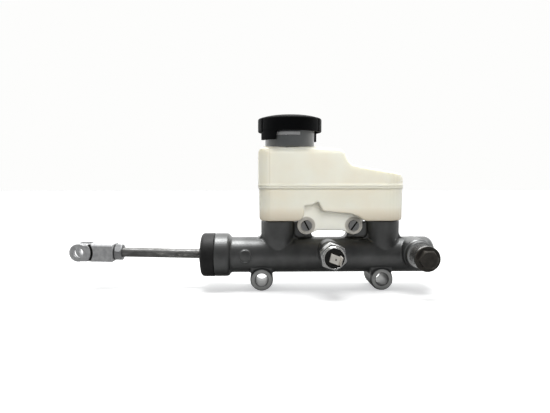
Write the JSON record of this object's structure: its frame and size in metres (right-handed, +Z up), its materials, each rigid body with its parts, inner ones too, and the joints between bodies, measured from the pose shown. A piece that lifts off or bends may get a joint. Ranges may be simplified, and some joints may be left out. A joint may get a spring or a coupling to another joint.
{
  "type": "brake master cylinder",
  "caption": "Tandem hydraulic brake master cylinder with plastic fluid reservoir, screw cap, pressure switch, pushrod and clevis.",
  "frame": {"origin": "centre of the pushrod-side mounting lug bore", "axes": "+X along the main bore towards its closed end, -Y the side the two ports face, +Z up through the reservoir and filler cap"},
  "size_m": [0.3032, 0.0779, 0.1443],
  "materials": {
    "casting": "satin grey coating",
    "boot_rubber": "matt",
    "seal_rubber": "matt",
    "spring_steel": "bright",
    "piston_alloy": "turned",
    "rod_steel": "dark, worn bright",
    "zinc_steel": "zinc plated",
    "bolt_steel": "oiled black",
    "washer_alloy": "satin",
    "blade_metal": "tinned",
    "reservoir_plastic": "translucent, satin",
    "neck_plastic": "satin",
    "cap_plastic": "gloss"
  },
  "bodies": {
    "housing": {"cylinder_body": "casting", "boot": "boot_rubber", "circlip": "spring_steel", "stop_washer": "spring_steel", "stop_pin": "spring_steel", "reservoir_lower": "reservoir_plastic", "reservoir_upper": "reservoir_plastic", "filler_neck": "neck_plastic", "grommets": "seal_rubber", "retaining_screws": "zinc_steel", "banjo_bolt": "bolt_steel", "banjo_washers": "washer_alloy", "switch_body": "zinc_steel", "switch_washer": "washer_alloy", "switch_insulator": "cap_plastic", "switch_blades": "blade_metal"},
    "primary_piston_group": {"primary_piston": "piston_alloy", "primary_cup": "seal_rubber", "rear_seal": "seal_rubber", "primary_spring": "spring_steel"},
    "secondary_piston_group": {"secondary_piston": "piston_alloy", "secondary_cups": "seal_rubber", "secondary_spring": "spring_steel"},
    "pushrod_body": {"pushrod": "rod_steel"},
    "lock_nut_body": {"lock_nut": "zinc_steel"},
    "clevis_body": {"clevis": "zinc_steel"},
    "cap_seal_body": {"cap_seal": "seal_rubber"},
    "cap_body": {"cap": "cap_plastic"}
  },
  "joints": [
    {"name": "piston_stroke", "type": "slide", "parent": "housing", "child": "primary_piston_group", "axis": [1, 0, 0], "range_m": [0, 0.026], "stiffness_N_per_m": 900, "springref_m": -0.02, "deforming": ["primary_spring", "boot"]},
    {"name": "secondary_stroke", "type": "slide", "parent": "housing", "child": "secondary_piston_group", "axis": [1, 0, 0], "range_m": [0, 0.011], "deforming": ["secondary_spring"]},
    {"name": "pushrod_swing", "type": "hinge", "parent": "primary_piston_group", "child": "pushrod_body", "pos_m": [-0.021, 0, 0.0188], "axis": [0, 1, 0], "range_deg": [-3, 3]},
    {"name": "lock_nut_turn", "type": "hinge", "parent": "pushrod_body", "child": "lock_nut_body", "pos_m": [-0.1385, 0, 0.02167], "axis": [-0.9997, 0, 0.0244], "continuous": true},
    {"name": "clevis_turn", "type": "hinge", "parent": "pushrod_body", "child": "clevis_body", "pos_m": [-0.1385, 0, 0.02167], "axis": [-0.9997, 0, 0.0244], "continuous": true},
    {"name": "cap_lift", "type": "slide", "parent": "housing", "child": "cap_seal_body", "axis": [0, 0, 1], "range_m": [0, 0.0045]},
    {"name": "cap_turn", "type": "hinge", "parent": "cap_seal_body", "child": "cap_body", "pos_m": [0.0235, 0, 0.1211], "axis": [0, 0, 1], "range_deg": [0, 360]}
  ],
  "couplings": [
    {"joint": "secondary_stroke", "follows": "piston_stroke", "ratio": 0.42308},
    {"joint": "cap_lift", "follows": "cap_turn", "m_per_rad": 0.00063662}
  ]
}
